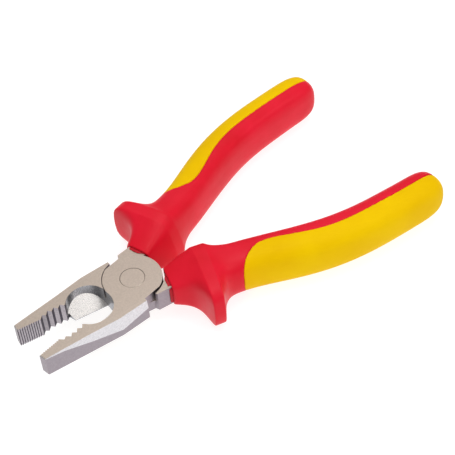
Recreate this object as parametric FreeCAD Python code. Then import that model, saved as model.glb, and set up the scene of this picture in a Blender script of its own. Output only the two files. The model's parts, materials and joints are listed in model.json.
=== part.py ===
import FreeCAD, Part
import math
import os
from FreeCAD import Vector

os.makedirs("parts", exist_ok=True)

# Insulated lineman (combination) pliers, about 180 mm long, in millimetres.
# Row frame: +X from the pivot to the jaw tips, +Z up along the pivot axis, and
# the origin on the pivot axis at the lower ground face of the head.
# Each half is drawn closed: its closing face lies on y = 0, its jaw on the
# y > 0 side ahead of the pivot and its handle on the y < 0 side behind it.
# The second half is the mirror image of the first, with the laps swapped.

# --- Head -------------------------------------------------------------------
THICKNESS = 9.4          # ground thickness of the head and the joint
MID = THICKNESS / 2      # lap plane
REST_OPENING = 18.0      # degrees between the closing faces at rest
CLOSING_GAP = 0.06       # each closing face stays this far off the centre plane
LAP_GAP = 0.06           # each lap face stays this far off the lap plane

LAP_RADIUS = 11.8        # round lap of each half
LAP_FLAT = 11.2          # distance from the pivot to the flats on the lap
JAW_RECESS = 12.1        # recess in the jaw that the other half's lap turns in
NECK_RECESS = 12.5       # the same recess in the neck
RIVET_RADIUS = 5.0
RIVET_CLEARANCE = 0.06   # radial, in the half that turns on the rivet
RIVET_CHAMFER = 0.22

TIP_X = 48.9
TIP_HEIGHT = 3.12
WALL_KINK = (17.1, 11.5)     # where the jaw's side wall changes slope
JAW_REAR = (4.7, 13.0)       # outer rear corner of the jaw
SHOULDER = (4.25, 11.0)      # foot of the jaw's rear shoulder
# Bevel along the top edge of the jaw: (x, inset from the wall, depth)
BEVEL_STATIONS = ((3.5, 0.62, 3.7), (17.1, 0.70, 6.4), (29.3, 0.66, 4.0), (41.0, 0.34, 1.0),
                  (49.4, 0.14, 0.2))
TIP_BEVEL = 0.35

# --- Cutter -----------------------------------------------------------------
POCKET_RADIUS = 8.6
POCKET_CENTRE = (20.2, -1.9)
POCKET_WALL = 4.05           # depth of the upright wall at the pocket's far side
POCKET_SLOPE = 0.757         # fall of the knife bevel towards the closing face

# --- Teeth ------------------------------------------------------------------
FINE_START = 39.3
FINE_PITCH = 0.95
FINE_COUNT = 10
FINE_DEPTH = 0.55
COARSE_START = 25.7          # first groove of the pipe grip, at the blade's end
COARSE_PITCH = 2.68
COARSE_COUNT = 5
COARSE_ROOT = 2.95           # depth of the grooves behind the closing face
COARSE_TOOTH = 1.35          # height of the teeth
COARSE_FADE_X = 33.2         # from here the pipe grip runs out towards the tip
COARSE_FADE = 0.055

# --- Neck and tang ----------------------------------------------------------
NECK_OUTLINE = ((-1.0, -4.0), (-3.3, -10.9), (-4.4, -12.7), (-9.2, -12.45), (-16.0, -12.2),
                (-16.0, -5.2), (-10.0, -4.4))
TANG_THICKNESS = 5.6
TANG_START_WIDTH = 6.6
TANG_END_WIDTH = 4.6
TANG_END_X = -96.0
TANG_STEPS = 9

# --- Grip -------------------------------------------------------------------
# Centre line of the handle, which bows outwards behind the guard
CENTRE_LINE = ((-8.0, -7.8), (-18.0, -9.2), (-27.0, -10.9), (-40.0, -13.9), (-60.0, -19.3),
               (-80.0, -23.0), (-100.0, -23.0), (-120.0, -21.0), (-131.0, -19.4))
# Sections of the grip: (x on the centre line, inner half width, outer half width, half height,
# squareness of the inner side, squareness of the outer side, slant of the inner side).
# The slant narrows the inner side above and widens it below; the second grip is the
# first one turned over, so the two slants pass each other when the handles close.
FRONT_RIDGE = (-23.4, 8.4, 20.8, 10.5, 3.6, 4.2, 0.34)
BACK_RIDGE = (-28.2, 8.3, 20.0, 11.0, 3.6, 4.2, 0.34)
# The nose flares out to the front ridge of the guard
NOSE_SECTIONS = ((-11.2, 5.8, 5.7, 5.8, 5.4, 5.0, 0.16), (-16.0, 6.7, 7.4, 7.6, 4.8, 4.6, 0.24),
                 (-20.0, 7.6, 10.8, 9.1, 4.2, 4.4, 0.3), (-22.0, 8.1, 16.0, 9.9, 3.8, 4.2, 0.33),
                 FRONT_RIDGE)
# Behind the back ridge the guard falls to the hand grip, which ends blunt and rounded
BODY_SECTIONS = (BACK_RIDGE, (-29.8, 7.9, 15.0, 10.5, 3.4, 3.4, 0.28),
                 (-32.4, 7.4, 10.8, 10.1, 3.2, 2.8, 0.2),
                 (-36.5, 7.1, 8.9, 9.9, 3.1, 2.6, 0.12), (-42.0, 7.4, 8.1, 9.9, 3.1, 2.6, 0.08),
                 (-55.0, 7.9, 8.0, 9.9, 3.2, 2.6, 0.06), (-78.0, 8.1, 8.2, 10.0, 3.2, 2.6, 0.04),
                 (-100.0, 7.9, 8.1, 9.9, 3.2, 2.6, 0.02), (-117.0, 7.7, 8.0, 9.7, 3.2, 2.7, 0.0),
                 (-123.5, 7.3, 7.6, 9.1, 3.1, 2.7, 0.0), (-127.0, 6.2, 6.4, 7.7, 2.9, 2.6, 0.0),
                 (-128.6, 4.2, 4.2, 5.2, 2.6, 2.4, 0.0))
COLLAR_SECTIONS = ((-9.9, 5.0, 4.9, 5.1, 5.0, 5.0, 0.0), (-14.0, 5.0, 4.9, 5.1, 5.0, 5.0, 0.0))
SLEEVE_SECTIONS = ((-14.0, 5.0, 4.9, 5.1, 5.0, 5.0, 0.0), (-24.0, 5.2, 5.2, 5.2, 3.0, 3.0, 0.0),
                   (-50.0, 5.2, 5.2, 5.2, 3.0, 3.0, 0.0), (-80.0, 5.0, 5.0, 5.0, 3.0, 3.0, 0.0),
                   (-102.0, 4.6, 4.6, 4.6, 3.0, 3.0, 0.0))
INLAY_THICKNESS = 2.4
# Parting line between the hand grip and its soft inlay, seen from above
PARTING_LINE = ((-30.5, -33.0), (-34.0, -27.5), (-37.5, -21.5), (-42.5, -17.0), (-48.5, -14.6),
                (-54.5, -15.2), (-65.0, -18.9), (-77.0, -22.0), (-96.5, -22.2), (-112.0, -21.0),
                (-126.0, -19.3), (-135.0, -18.0))
SECTION_POINTS = 20


def prism(outline, low, high):
    """Upright prism on a closed outline of (x, y) corners."""
    corners = [Vector(x, y, low) for x, y in outline]
    corners.append(corners[0])
    return Part.Face(Part.makePolygon(corners)).extrude(Vector(0, 0, high - low))


def cylinder(radius, low, high, centre=(0, 0)):
    """Upright cylinder between two heights."""
    return Part.makeCylinder(radius, high - low, Vector(centre[0], centre[1], low))


def wall_y(x):
    """Outer side wall of the jaw at x."""
    ahead = WALL_KINK if x > WALL_KINK[0] else JAW_REAR
    beyond = (TIP_X, TIP_HEIGHT) if x > WALL_KINK[0] else WALL_KINK
    slope = (beyond[1] - ahead[1]) / (beyond[0] - ahead[0])
    return ahead[1] + slope * (x - ahead[0])


def jaw():
    """Full-thickness jaw from the pivot to the tip."""
    outline = [(0, CLOSING_GAP), (TIP_X, CLOSING_GAP), (TIP_X, TIP_HEIGHT), WALL_KINK, JAW_REAR, SHOULDER,
               (0, SHOULDER[1])]
    return prism(outline, 0, THICKNESS)


def bevel_cutter():
    """Wedge that leaves the long bevel along the jaw's upper edge."""
    sections = []
    for x, inset, depth in BEVEL_STATIONS:
        wall = wall_y(x)
        corners = [Vector(x, wall - inset, THICKNESS), Vector(x, wall + 1, THICKNESS + depth / inset),
                   Vector(x, wall + 1, THICKNESS - depth), Vector(x, wall, THICKNESS - depth)]
        corners.append(corners[0])
        sections.append(Part.makePolygon(corners))
    return Part.makeLoft(sections, True, True)


def pocket_cutter():
    """Round-backed pocket whose floor slopes down to the knife edge."""
    back = POCKET_CENTRE[1] + POCKET_RADIUS
    front = -POCKET_RADIUS
    wall_z = THICKNESS - POCKET_WALL
    front_z = wall_z - POCKET_SLOPE * (back - front)
    profile = [Vector(0, back, wall_z), Vector(0, front, front_z), Vector(0, front, THICKNESS + 1),
               Vector(0, back + 1, THICKNESS + 1), Vector(0, back + 1, wall_z)]
    profile.append(profile[0])
    wedge = Part.Face(Part.makePolygon(profile)).extrude(Vector(TIP_X, 0, 0))
    return wedge.common(cylinder(POCKET_RADIUS, -THICKNESS, 2 * THICKNESS, POCKET_CENTRE))


def coarse_root(x):
    """Depth of the pipe grip's grooves, which run out towards the tip."""
    return COARSE_ROOT - COARSE_FADE * max(0.0, x - COARSE_FADE_X) ** 2


def coarse_teeth_cutter():
    """Pipe grip: coarse teeth set back from the closing face."""
    outline = [(COARSE_START, -1), (COARSE_START, CLOSING_GAP)]
    for index in range(COARSE_COUNT):
        root = COARSE_START + COARSE_PITCH * (index + 0.5)
        crest = COARSE_START + COARSE_PITCH * (index + 1)
        outline.append((root, coarse_root(root)))
        outline.append((crest, max(CLOSING_GAP, coarse_root(crest) - COARSE_TOOTH)))
    end = outline[-1][0]
    outline.append((end + 0.4, -1))
    return prism(outline, -1, THICKNESS + 1)


def fine_teeth_cutter():
    """Fine serrations of the flat gripping face at the tip."""
    outline = [(FINE_START, -1)]
    for index in range(FINE_COUNT):
        start = FINE_START + FINE_PITCH * index
        outline.append((start, CLOSING_GAP))
        outline.append((start + FINE_PITCH / 2, FINE_DEPTH))
    end = FINE_START + FINE_PITCH * FINE_COUNT
    outline += [(end, CLOSING_GAP), (end, -1)]
    return prism(outline, -1, THICKNESS + 1)


def tip_cutter():
    """Small bevel across the jaw's end face, above and below."""
    profile = [Vector(TIP_X - TIP_BEVEL, -1, THICKNESS), Vector(TIP_X + 1, -1, THICKNESS),
               Vector(TIP_X + 1, -1, THICKNESS - TIP_BEVEL), Vector(TIP_X, -1, THICKNESS - TIP_BEVEL)]
    profile.append(profile[0])
    upper = Part.Face(Part.makePolygon(profile)).extrude(Vector(0, JAW_REAR[1], 0))
    return upper.fuse(upper.mirror(Vector(0, 0, MID), Vector(0, 0, 1)))


def centre_point(x):
    """Point of the handle's centre line at x, and its direction there."""
    curve = Part.BSplineCurve()
    curve.interpolate([Vector(px, py, MID) for px, py in CENTRE_LINE])
    plane = Part.Plane(Vector(x, 0, 0), Vector(1, 0, 0))
    hit = curve.intersect(plane)[0][0]
    at = Vector(hit.X, hit.Y, hit.Z)
    along = curve.tangent(curve.parameter(at))[0]
    return at, along


def tang():
    """Flat tang that runs back from the neck inside the handle."""
    inner = []
    outer = []
    for step in range(TANG_STEPS + 1):
        share = step / TANG_STEPS
        x = NECK_OUTLINE[4][0] + 2 + share * (TANG_END_X - NECK_OUTLINE[4][0] - 2)
        half = (TANG_START_WIDTH + share * (TANG_END_WIDTH - TANG_START_WIDTH)) / 2
        at, along = centre_point(x)
        side = Vector(-along.y, along.x, 0) * half
        outer.append((at.x + side.x, at.y + side.y))
        inner.append((at.x - side.x, at.y - side.y))
    outline = outer + inner[::-1]
    return prism(outline, MID - TANG_THICKNESS / 2, MID + TANG_THICKNESS / 2)


def forged_half(top_lap):
    """One forging: jaw, round lap, neck and tang."""
    own_low, own_high = (MID + LAP_GAP, THICKNESS) if top_lap else (0, MID - LAP_GAP)
    other_low, other_high = (-1, MID + LAP_GAP) if top_lap else (MID - LAP_GAP, THICKNESS + 1)
    lap = cylinder(LAP_RADIUS, own_low, own_high)
    lap = lap.common(Part.makeBox(60, 2 * LAP_FLAT, 3 * THICKNESS, Vector(-30, -LAP_FLAT, -THICKNESS)))
    front = jaw().cut(cylinder(JAW_RECESS, other_low, other_high))
    rear = prism(NECK_OUTLINE, 0, THICKNESS).cut(cylinder(NECK_RECESS, other_low, other_high))
    forging = front.fuse([lap, rear, tang()])
    bore = RIVET_RADIUS if top_lap else RIVET_RADIUS + RIVET_CLEARANCE
    cutters = [cylinder(bore, -1, THICKNESS + 1), bevel_cutter(), pocket_cutter(), coarse_teeth_cutter(),
               fine_teeth_cutter(), tip_cutter()]
    return forging.cut(cutters).removeSplitter()


def rivet():
    """Joint rivet, ground flush with both faces, with broken edges."""
    shank = cylinder(RIVET_RADIUS, 0, THICKNESS)
    ends = [edge for edge in shank.Edges if edge.BoundBox.ZLength < 1e-6]
    return shank.makeChamfer(RIVET_CHAMFER, ends)


def section(x, inner, outer, height, inner_power, outer_power, slant, shrink=0.0):
    """Cross-section of the handle: a soft-cornered oval, wider on one side."""
    at, along = centre_point(x)
    side = Vector(-along.y, along.x, 0)
    if side.y < 0:
        side = side * -1
    points = []
    for index in range(SECTION_POINTS):
        angle = 2 * math.pi * (index + 0.5) / SECTION_POINTS
        cosine = math.cos(angle)
        sine = math.sin(angle)
        half, power = (inner, inner_power) if cosine > 0 else (outer, outer_power)
        rise = math.copysign(abs(sine) ** (2 / power), sine)
        lean = 1 - slant * rise if cosine > 0 else 1
        across = (half - shrink) * lean * math.copysign(abs(cosine) ** (2 / power), cosine)
        up = (height - shrink) * rise
        points.append(at + side * across + Vector(0, 0, up))
    curve = Part.BSplineCurve()
    curve.interpolate(points, PeriodicFlag=True)
    return Part.Wire(curve.toShape())


def loft(sections, ruled=False, shrink=0.0):
    """Closed solid through a run of handle sections."""
    return Part.makeLoft([section(*values, shrink=shrink) for values in sections], True, ruled)


def grip_block():
    """Whole outside of the grip: nose, flat rim of the guard between two ridges, hand grip."""
    return loft(NOSE_SECTIONS).fuse([loft((FRONT_RIDGE, BACK_RIDGE), ruled=True), loft(BODY_SECTIONS)])


def inlay_region():
    """Everything outside the parting line, and outside the grip's own core."""
    curve = Part.BSplineCurve()
    curve.interpolate([Vector(x, y, -30) for x, y in PARTING_LINE])
    first = Vector(PARTING_LINE[0][0], PARTING_LINE[0][1], -30)
    last = Vector(PARTING_LINE[-1][0], PARTING_LINE[-1][1], -30)
    far_last = Vector(last.x, -60, -30)
    far_first = Vector(first.x, -60, -30)
    rim = [curve.toShape(), Part.makeLine(last, far_last), Part.makeLine(far_last, far_first),
           Part.makeLine(far_first, first)]
    region = Part.Face(Part.Wire(rim)).extrude(Vector(0, 0, 70))
    core = loft(BODY_SECTIONS[2:-2], shrink=INLAY_THICKNESS)
    return region.cut(core)


def handle_parts():
    """Sleeve on the tang, hard grip body with the guard, and soft inlay."""
    clear = cylinder(NECK_RECESS, -30, 40)
    steel = tang().fuse(prism(NECK_OUTLINE, 0, THICKNESS))
    sleeve_outside = loft(COLLAR_SECTIONS, ruled=True).fuse(loft(SLEEVE_SECTIONS))
    sleeve = sleeve_outside.cut([steel, clear])
    block = grip_block().cut(clear)
    region = inlay_region()
    inlay = block.common(region)
    body = block.cut([region, sleeve_outside, steel])
    return {"tang_sleeve": sleeve, "grip_body": body, "grip_inlay": inlay}


def only_solid(shape):
    """The single largest solid of a boolean result."""
    return max(shape.Solids, key=lambda solid: solid.Volume)


def place(shape, mirrored, turned_over=False):
    """Turn a closed half into its rest position, mirrored for the second half."""
    if mirrored:
        shape = shape.mirror(Vector(0, 0, 0), Vector(0, 1, 0))
    if mirrored and turned_over:
        shape = shape.mirror(Vector(0, 0, MID), Vector(0, 0, 1))
    turned = shape.copy()
    angle = -REST_OPENING / 2 if mirrored else REST_OPENING / 2
    turned.rotate(Vector(0, 0, 0), Vector(0, 0, 1), angle)
    return only_solid(turned)


def main():
    handle = handle_parts()
    nodes = {"joint_rivet": rivet()}
    for letter, mirrored in (("a", False), ("b", True)):
        nodes["forged_half_" + letter] = place(forged_half(not mirrored), mirrored)
        for name, shape in handle.items():
            nodes[name + "_" + letter] = place(shape, mirrored, turned_over=True)
    for name, shape in nodes.items():
        shape.exportStep("parts/" + name + ".step")
        print(name, "volume", round(shape.Volume, 1), "valid", shape.isValid())


main()
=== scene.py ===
import json
import math

import bmesh
import bpy
from mathutils import Matrix, Vector


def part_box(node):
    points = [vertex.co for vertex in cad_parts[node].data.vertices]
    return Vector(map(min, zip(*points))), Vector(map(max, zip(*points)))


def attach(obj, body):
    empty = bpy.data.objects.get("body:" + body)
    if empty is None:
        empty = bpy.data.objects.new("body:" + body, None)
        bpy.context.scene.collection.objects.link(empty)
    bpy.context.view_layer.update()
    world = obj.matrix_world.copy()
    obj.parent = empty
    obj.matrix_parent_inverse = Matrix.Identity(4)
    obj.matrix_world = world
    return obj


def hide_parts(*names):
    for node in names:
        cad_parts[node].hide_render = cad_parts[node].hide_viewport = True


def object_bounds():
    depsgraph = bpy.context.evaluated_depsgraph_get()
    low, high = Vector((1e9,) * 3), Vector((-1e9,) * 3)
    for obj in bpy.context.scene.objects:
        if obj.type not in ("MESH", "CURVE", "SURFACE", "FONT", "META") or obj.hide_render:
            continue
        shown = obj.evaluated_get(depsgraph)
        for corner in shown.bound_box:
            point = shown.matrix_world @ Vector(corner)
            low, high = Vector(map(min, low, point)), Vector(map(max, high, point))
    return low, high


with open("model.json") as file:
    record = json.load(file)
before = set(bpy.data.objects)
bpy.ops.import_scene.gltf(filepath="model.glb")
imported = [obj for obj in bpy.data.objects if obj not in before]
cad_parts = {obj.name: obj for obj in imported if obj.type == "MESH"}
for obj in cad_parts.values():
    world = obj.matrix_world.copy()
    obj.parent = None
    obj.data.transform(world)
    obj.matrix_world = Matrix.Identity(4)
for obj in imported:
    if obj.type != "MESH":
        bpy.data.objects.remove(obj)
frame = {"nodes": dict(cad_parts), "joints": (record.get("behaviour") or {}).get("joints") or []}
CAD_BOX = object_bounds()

MM = 0.001

# Height of the head's upper ground face. The rivet is flush with it.
HEAD_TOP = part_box("joint_rivet")[1].z
# The hinge's upper limit is the closed position, so at rest each half is turned
# by half of that angle.
REST_HALF_ANGLE = math.radians(frame["joints"][0]["range_deg"][1] / 2)
HALVES = {"a": 1.0, "b": -1.0}          # letter -> side that its jaw lies on

# Edge and skin detail
STEEL_EDGE = 0.11 * MM                  # broken edge on ground and forged corners
STEEL_EDGE_ANGLE = math.radians(24.0)   # edges sharper than this are broken
EDGE_SEGMENTS = 2
EDGE_PROFILE = 0.6
RIVET_EDGE = 0.05 * MM                  # broken edge on the rivet's rim
WELD_DISTANCE = 0.0005 * MM             # joins the vertices that the CAD mesh doubles
FLAT_ANGLE = math.radians(0.6)          # faces closer than this become one polygon
FORGING_CREASE = math.radians(22.0)     # shading stays sharp past these angles
RIVET_CREASE = math.radians(30.0)
MOULDED_CREASE = math.radians(50.0)
GRIP_VOXEL = 0.34 * MM                  # resolution of the moulded skins
GRIP_FACES = 60000                      # faces kept on each grip body after decimation
SMOOTHING_FACTOR = 0.5


# --- Node helpers -----------------------------------------------------------

def new_material(name):
    """Node material, with its tree, its principled shader and the object coordinates."""
    material = bpy.data.materials.new(name)
    material.use_nodes = True
    tree = material.node_tree
    shader = tree.nodes["Principled BSDF"]
    place = tree.nodes.new("ShaderNodeTexCoord")
    return material, tree, shader, place.outputs["Object"]


def stretched(tree, vector, scale):
    """Object coordinates stretched by a scale on each axis."""
    mapping = tree.nodes.new("ShaderNodeMapping")
    mapping.inputs["Scale"].default_value = scale
    tree.links.new(vector, mapping.inputs["Vector"])
    return mapping.outputs["Vector"]


def noise(tree, vector, scale, detail=4.0, roughness=0.6):
    """Noise value between 0 and 1."""
    node = tree.nodes.new("ShaderNodeTexNoise")
    node.inputs["Scale"].default_value = scale
    node.inputs["Detail"].default_value = detail
    node.inputs["Roughness"].default_value = roughness
    tree.links.new(vector, node.inputs["Vector"])
    return node.outputs["Fac"]


def remap(tree, value, low, high, to_low, to_high):
    """Linear change of range, clamped."""
    node = tree.nodes.new("ShaderNodeMapRange")
    for name, number in (("From Min", low), ("From Max", high), ("To Min", to_low), ("To Max", to_high)):
        node.inputs[name].default_value = number
    tree.links.new(value, node.inputs["Value"])
    return node.outputs["Result"]


def ramp(tree, value, stops):
    """Colour ramp from (position, colour) stops."""
    node = tree.nodes.new("ShaderNodeValToRGB")
    elements = node.color_ramp.elements
    while len(elements) < len(stops):
        elements.new(0.5)
    for element, (position, colour) in zip(elements, stops):
        element.position = position
        element.color = (*colour, 1.0)
    tree.links.new(value, node.inputs["Fac"])
    return node.outputs["Color"]


def bump(tree, height, strength, distance, previous=None):
    """Bump from a height value, on top of an earlier one if given."""
    node = tree.nodes.new("ShaderNodeBump")
    node.inputs["Strength"].default_value = strength
    node.inputs["Distance"].default_value = distance
    tree.links.new(height, node.inputs["Height"])
    if previous is not None:
        tree.links.new(previous, node.inputs["Normal"])
    return node.outputs["Normal"]


# --- Materials --------------------------------------------------------------

# Noise scales are in cycles per metre, bump heights in metres
GRAIN_ALONG_X = (900.0, 5200.0, 5200.0)  # grinding lines: the low axis is the one they run along
CLOUD_SCALE = 1300.0
PIT_SCALE = 3200.0
GRAIN_BUMP, GRAIN_HEIGHT = 0.35, 0.02 * MM
PIT_BUMP, PIT_HEIGHT = 0.18, 0.015 * MM

DRIFT_SCALE = 45.0                      # slow change of colour over a moulding
TEXTURE_SCALE = 2600.0                  # spark-eroded grain of the mould
HANDLING_SCALE = (60.0, 190.0, 190.0)   # patches that hands have left glossier
WAVE_SCALE = 150.0                      # slight unevenness of the skin
WAVE_BUMP, WAVE_HEIGHT = 0.10, 0.15 * MM
TEXTURE_HEIGHT = 0.03 * MM


def steel(name, dark, light, rough, grain, grain_scale=GRAIN_ALONG_X):
    """Bare steel: cloudy colour, fine grinding lines and a scatter of small pits."""
    material, tree, shader, place = new_material(name)
    clouds = noise(tree, place, CLOUD_SCALE, 5.0, 0.7)
    lines = noise(tree, stretched(tree, place, grain_scale), 1.0, 3.0, 0.7)
    mixed = tree.nodes.new("ShaderNodeMath")
    mixed.operation = "MULTIPLY_ADD"
    mixed.inputs[1].default_value = grain
    tree.links.new(lines, mixed.inputs[0])
    tree.links.new(clouds, mixed.inputs[2])
    middle = 0.5 + grain / 2
    spread = 0.24 + grain / 4
    colour = ramp(tree, remap(tree, mixed.outputs[0], middle - spread, middle + spread, 0.0, 1.0),
                  ((0.0, dark), (1.0, light)))
    tree.links.new(colour, shader.inputs["Base Color"])
    tree.links.new(remap(tree, lines, 0.3, 0.7, rough - 0.06, rough + 0.08), shader.inputs["Roughness"])
    pits = noise(tree, place, PIT_SCALE, 2.0, 0.5)
    normal = bump(tree, lines, GRAIN_BUMP, GRAIN_HEIGHT)
    normal = bump(tree, pits, PIT_BUMP, PIT_HEIGHT, normal)
    tree.links.new(normal, shader.inputs["Normal"])
    shader.inputs["Metallic"].default_value = 1.0
    return material


def plastic(name, dark, light, rough, texture_bump, gloss):
    """Moulded plastic: slight colour drift, fine spark-eroded texture and soft mottled gloss."""
    material, tree, shader, place = new_material(name)
    drift = noise(tree, place, DRIFT_SCALE, 4.0, 0.55)
    colour = ramp(tree, drift, ((0.32, dark), (0.68, light)))
    tree.links.new(colour, shader.inputs["Base Color"])
    fine = noise(tree, place, TEXTURE_SCALE, 3.0, 0.6)
    handling = noise(tree, stretched(tree, place, HANDLING_SCALE), 1.0, 5.0, 0.6)
    tree.links.new(remap(tree, handling, 0.3, 0.7, rough - 0.05, rough + 0.07), shader.inputs["Roughness"])
    waves = noise(tree, place, WAVE_SCALE, 2.0, 0.4)
    normal = bump(tree, waves, WAVE_BUMP, WAVE_HEIGHT)
    normal = bump(tree, fine, texture_bump, TEXTURE_HEIGHT, normal)
    tree.links.new(normal, shader.inputs["Normal"])
    shader.inputs["Specular IOR Level"].default_value = gloss
    return material


def make_materials():
    """Every finish on the object, and the painted shade of the tooth flanks, by name."""
    return {
        "ground": steel("ground_steel", (0.44, 0.365, 0.31), (0.64, 0.54, 0.46), 0.42, 0.9),
        "bright": steel("bright_bevel_steel", (0.52, 0.505, 0.53), (0.84, 0.825, 0.85), 0.25, 0.9),
        "cutter": steel("cutter_steel", (0.62, 0.585, 0.56), (0.85, 0.82, 0.80), 0.29, 0.6,
                        (5200.0, 700.0, 5200.0)),
        "pocket": steel("pocket_wall_steel", (0.16, 0.16, 0.175), (0.60, 0.61, 0.65), 0.24, 0.9,
                        (5200.0, 5200.0, 700.0)),
        "teeth": steel("tooth_steel", (0.26, 0.235, 0.26), (0.62, 0.57, 0.61), 0.34, 0.7,
                       (5200.0, 5200.0, 900.0)),
        # Painted shade: a near-black copy of the tooth steel for the flanks that face the pivot
        "painted_tooth_shade": steel("painted_shade_tooth_steel", (0.04, 0.035, 0.045), (0.13, 0.115, 0.14), 0.45, 0.7,
                             (5200.0, 5200.0, 900.0)),
        "forged": steel("forged_side_steel", (0.29, 0.255, 0.28), (0.42, 0.375, 0.41), 0.42, 0.5,
                        (1400.0, 1400.0, 1400.0)),
        "red": plastic("red_grip_plastic", (0.74, 0.006, 0.020), (0.84, 0.010, 0.034), 0.38, 0.20, 0.15),
        "sleeve": plastic("red_sleeve_plastic", (0.46, 0.004, 0.014), (0.58, 0.008, 0.022), 0.5, 0.2, 0.25),
        "yellow": plastic("yellow_inlay_plastic", (0.88, 0.53, 0.0), (0.94, 0.60, 0.0), 0.50, 0.3, 0.04),
    }


# --- Steel pieces -----------------------------------------------------------

STEEL_FINISHES = ["ground", "bright", "cutter", "pocket", "teeth", "painted_tooth_shade", "forged"]
# Plain tooth steel and the painted shade on tooth flanks facing the pivot; their edges stay crisp
TOOTH_STEEL_AND_SHADE = ("teeth", "painted_tooth_shade")

# Where each finish lies on a forging in the closed frame, x along the jaw and y
# out from the closing face
JAW_START_X = 11.0 * MM
BEVEL_START_X = 3.0 * MM
TEETH_START_X = 27.0 * MM
TEETH_DEPTH = 4.0 * MM
POCKET_BACK_Y = 7.0 * MM
POCKET_END_X = 29.5 * MM
# Parts of a face's normal that tell the finishes apart
LEVEL = 0.99                            # z of a ground face, up or down
UPRIGHT = 0.1                           # z of an upright wall is under this
CUTTER_TILT = (0.6, 0.9)                # z of the cutter's slope
BEVEL_TILT = (0.02, 0.6)                # z of the jaw's outer bevel
FACES_INWARD = -0.2                     # y of a face towards the other jaw
FACES_OUTWARD = 0.5                     # y of a face away from it
FACES_BACK = -0.1                       # x of a tooth's flank towards the pivot


def closed_matrix(letter):
    """From the row frame at rest to the closed frame of one half, where its jaw has y > 0."""
    side = HALVES[letter]
    turn = Matrix.Rotation(-side * REST_HALF_ANGLE, 4, "Z")
    return Matrix.Diagonal((1.0, side, 1.0, 1.0)) @ turn


def cad_mesh(node):
    """Welded copy of a CAD node's mesh."""
    mesh = bmesh.new()
    mesh.from_mesh(frame["nodes"][node].data)
    bmesh.ops.remove_doubles(mesh, verts=mesh.verts, dist=WELD_DISTANCE)
    return mesh


def steel_finish(centre, normal):
    """Name of the finish of a forging's face, or of the painted shade on a tooth flank, from its centre and
    normal in the closed frame.
    """
    x, y = centre.x, centre.y
    in_jaw = x > JAW_START_X
    upright = abs(normal.z) < UPRIGHT
    if abs(normal.z) > LEVEL:
        return "ground"
    if in_jaw and CUTTER_TILT[0] < normal.z < CUTTER_TILT[1]:
        return "cutter"
    if x > TEETH_START_X and y < TEETH_DEPTH and normal.y < FACES_INWARD and upright:
        # Flanks facing the pivot get painted shade, the others plain tooth steel
        return "painted_tooth_shade" if normal.x < FACES_BACK else "teeth"
    if in_jaw and y < POCKET_BACK_Y and x < POCKET_END_X and upright and normal.y < FACES_OUTWARD:
        return "pocket"
    if x > BEVEL_START_X and BEVEL_TILT[0] < normal.z < BEVEL_TILT[1]:
        return "bright"
    return "forged"


def object_from(mesh, name, materials):
    """Object from a bmesh, with its materials."""
    data = bpy.data.meshes.new(name)
    mesh.to_mesh(data)
    mesh.free()
    for material in materials:
        data.materials.append(material)
    piece = bpy.data.objects.new(name, data)
    bpy.context.scene.collection.objects.link(piece)
    return piece


def break_edges(mesh, width, crisp=()):
    """Joins flat faces into polygons, then rounds every sharp edge by a small width.

    Edges of faces whose material index is in crisp stay sharp.
    """
    bmesh.ops.dissolve_limit(mesh, angle_limit=FLAT_ANGLE, verts=mesh.verts, edges=mesh.edges,
                             delimit={"MATERIAL"})
    sharp = [edge for edge in mesh.edges
             if len(edge.link_faces) == 2 and edge.calc_face_angle(0.0) > STEEL_EDGE_ANGLE
             and not any(face.material_index in crisp for face in edge.link_faces)]
    bmesh.ops.bevel(mesh, geom=sharp, offset=width, segments=EDGE_SEGMENTS, profile=EDGE_PROFILE,
                    affect="EDGES", clamp_overlap=True, loop_slide=True)


def add_forging(letter, finishes):
    """Steel half with its ground, forged and cutting surfaces."""
    node = "forged_half_" + letter
    mesh = cad_mesh(node)
    mesh.normal_update()
    to_closed = closed_matrix(letter)
    for face in mesh.faces:
        centre = to_closed @ face.calc_center_median()
        normal = to_closed.to_3x3() @ face.normal
        face.material_index = STEEL_FINISHES.index(steel_finish(centre, normal))
    break_edges(mesh, STEEL_EDGE, [STEEL_FINISHES.index(name) for name in TOOTH_STEEL_AND_SHADE])
    piece = object_from(mesh, "steel_half_" + letter, [finishes[name] for name in STEEL_FINISHES])
    finish_piece(piece, "half_" + letter, node, FORGING_CREASE)


def add_rivet(finishes):
    """Flush joint rivet with a broken rim."""
    mesh = cad_mesh("joint_rivet")
    break_edges(mesh, RIVET_EDGE)
    piece = object_from(mesh, "flush_rivet", [finishes["ground"]])
    finish_piece(piece, "half_a", "joint_rivet", RIVET_CREASE)


def finish_piece(piece, body, node, crease):
    """Smooth shading, then the piece's body; its CAD node is hidden."""
    for polygon in piece.data.polygons:
        polygon.use_smooth = True
    piece.data.set_sharp_from_angle(angle=crease)
    shading = piece.modifiers.new("shading", "WEIGHTED_NORMAL")
    shading.keep_sharp = True
    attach(piece, body)
    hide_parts(node)


# --- Moulded pieces ---------------------------------------------------------

def moulded(node, name, material, smoothing, keep_faces):
    """Even skin over a CAD solid, with its corners softened as a mould leaves them."""
    piece = object_from(cad_mesh(node), name, [material])
    skin = piece.modifiers.new("skin", "REMESH")
    skin.mode = "VOXEL"
    skin.voxel_size = GRIP_VOXEL
    soften = piece.modifiers.new("soften", "SMOOTH")
    soften.factor = SMOOTHING_FACTOR
    soften.iterations = smoothing
    reduce = piece.modifiers.new("reduce", "DECIMATE")
    reduce.ratio = 1.0
    bpy.context.view_layer.update()
    graph = bpy.context.evaluated_depsgraph_get()
    triangles = len(piece.evaluated_get(graph).data.polygons) * 2
    reduce.ratio = min(1.0, keep_faces / triangles)
    bpy.context.view_layer.update()
    graph = bpy.context.evaluated_depsgraph_get()
    data = bpy.data.meshes.new_from_object(piece.evaluated_get(graph))
    piece.modifiers.clear()
    piece.data = data
    return piece


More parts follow.
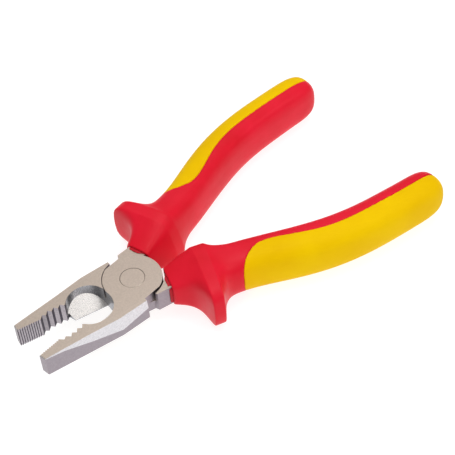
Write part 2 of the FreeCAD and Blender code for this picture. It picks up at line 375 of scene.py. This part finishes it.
# CAD node, piece, finish, slot, smoothing steps, share of GRIP_FACES
MOULDED_PIECES = (
    ("tang_sleeve_", "collar_sleeve_", "sleeve", "sleeve_plastic", 3, 0.3),
    ("grip_body_", "guarded_grip_", "red", "grip_body_plastic", 3, 1.0),
    ("grip_inlay_", "soft_inlay_", "yellow", "grip_inlay_plastic", 4, 0.5))


def add_grip(letter, finishes):
    """Sleeve, hard grip body and soft inlay of one handle."""
    for node, name, finish, slot, smoothing, share in MOULDED_PIECES:
        piece = moulded(node + letter, name + letter, finishes[finish], smoothing, GRIP_FACES * share)
        finish_piece(piece, "half_" + letter, node + letter, MOULDED_CREASE)


# --- Studio -----------------------------------------------------------------

FLOOR_HALF_SIZE = 3.0
FLOOR_GLOW = 0.84
FLOOR_GAP = 0.3 * MM                    # below the lowest point of the handles
WORLD_STRENGTH = 0.36
# Name, place, point it faces, size, watts
SOFTBOXES = (
    ("overhead", (-0.10, -0.02, 0.75), (-0.04, 0.0, 0.0), (0.5, 0.5), 2.5),
    ("back_softbox", (-0.35, 0.55, 0.62), (0.0, 0.0, 0.0), (0.5, 0.4), 1.8),
    ("rim", (-0.36, -0.50, 0.66), (-0.02, 0.0, 0.0), (0.5, 0.4), 0.42),
    ("fill", (0.55, 0.15, 0.35), (0.0, 0.0, 0.0), (0.4, 0.4), 0.25))


def add_floor():
    """White light-table floor just under the lowest point of the handles."""
    mesh = bmesh.new()
    bmesh.ops.create_grid(mesh, x_segments=1, y_segments=1, size=FLOOR_HALF_SIZE)
    material, _, shader, _ = new_material("white_floor")
    shader.inputs["Base Color"].default_value = (0.3, 0.3, 0.3, 1.0)
    shader.inputs["Roughness"].default_value = 0.9
    shader.inputs["Emission Color"].default_value = (1.0, 1.0, 1.0, 1.0)
    shader.inputs["Emission Strength"].default_value = FLOOR_GLOW
    floor = object_from(mesh, "floor", [material])
    floor.location.z = CAD_BOX[0].z - FLOOR_GAP


def add_area(name, location, target, size, power):
    """Rectangular soft light that faces a point."""
    data = bpy.data.lights.new(name, "AREA")
    data.shape = "RECTANGLE"
    data.size, data.size_y = size
    data.energy = power
    light = bpy.data.objects.new(name, data)
    light.location = location
    light.rotation_euler = (Vector(target) - Vector(location)).to_track_quat("-Z", "Y").to_euler()
    bpy.context.scene.collection.objects.link(light)


def add_lights():
    """Softboxes above, behind the handles, opposite the camera and low ahead, in a white surround."""
    for softbox in SOFTBOXES:
        add_area(*softbox)
    world = bpy.data.worlds.new("studio")
    world.use_nodes = True
    background = world.node_tree.nodes["Background"]
    background.inputs["Color"].default_value = (1.0, 1.0, 1.0, 1.0)
    background.inputs["Strength"].default_value = WORLD_STRENGTH
    bpy.context.scene.world = world


CAMERA_AZIMUTH = math.radians(145.03)
CAMERA_ELEVATION = math.radians(47.148)
CAMERA_ROLL = math.radians(-5.068)
CAMERA_DISTANCE = 545.73 * MM
CAMERA_LENS = 108.5                     # millimetres, like the sensor's width
CAMERA_SENSOR = 36.0
CAMERA_CLIP = (0.01, 20.0)
# The optical axis meets the plane of the head's upper face at this point
CAMERA_TARGET = Vector((-44.05 * MM, 4.05 * MM, HEAD_TOP))


def add_camera():
    """Camera above and beside the jaws, looking back along the handles."""
    back = Vector((math.sin(CAMERA_AZIMUTH) * math.cos(CAMERA_ELEVATION),
                   -math.cos(CAMERA_AZIMUTH) * math.cos(CAMERA_ELEVATION), math.sin(CAMERA_ELEVATION)))
    data = bpy.data.cameras.new("camera")
    data.lens = CAMERA_LENS
    data.sensor_width = CAMERA_SENSOR
    data.clip_start, data.clip_end = CAMERA_CLIP
    camera = bpy.data.objects.new("camera", data)
    turn = (-back).to_track_quat("-Z", "Y").to_matrix().to_4x4() @ Matrix.Rotation(CAMERA_ROLL, 4, "Z")
    camera.matrix_world = Matrix.Translation(CAMERA_TARGET + back * CAMERA_DISTANCE) @ turn
    bpy.context.scene.collection.objects.link(camera)
    bpy.context.scene.camera = camera


def main():
    finishes = make_materials()
    for letter in HALVES:
        add_forging(letter, finishes)
        add_grip(letter, finishes)
    add_rivet(finishes)
    add_floor()
    add_lights()
    add_camera()
    bpy.context.scene.view_settings.view_transform = "Standard"


main()
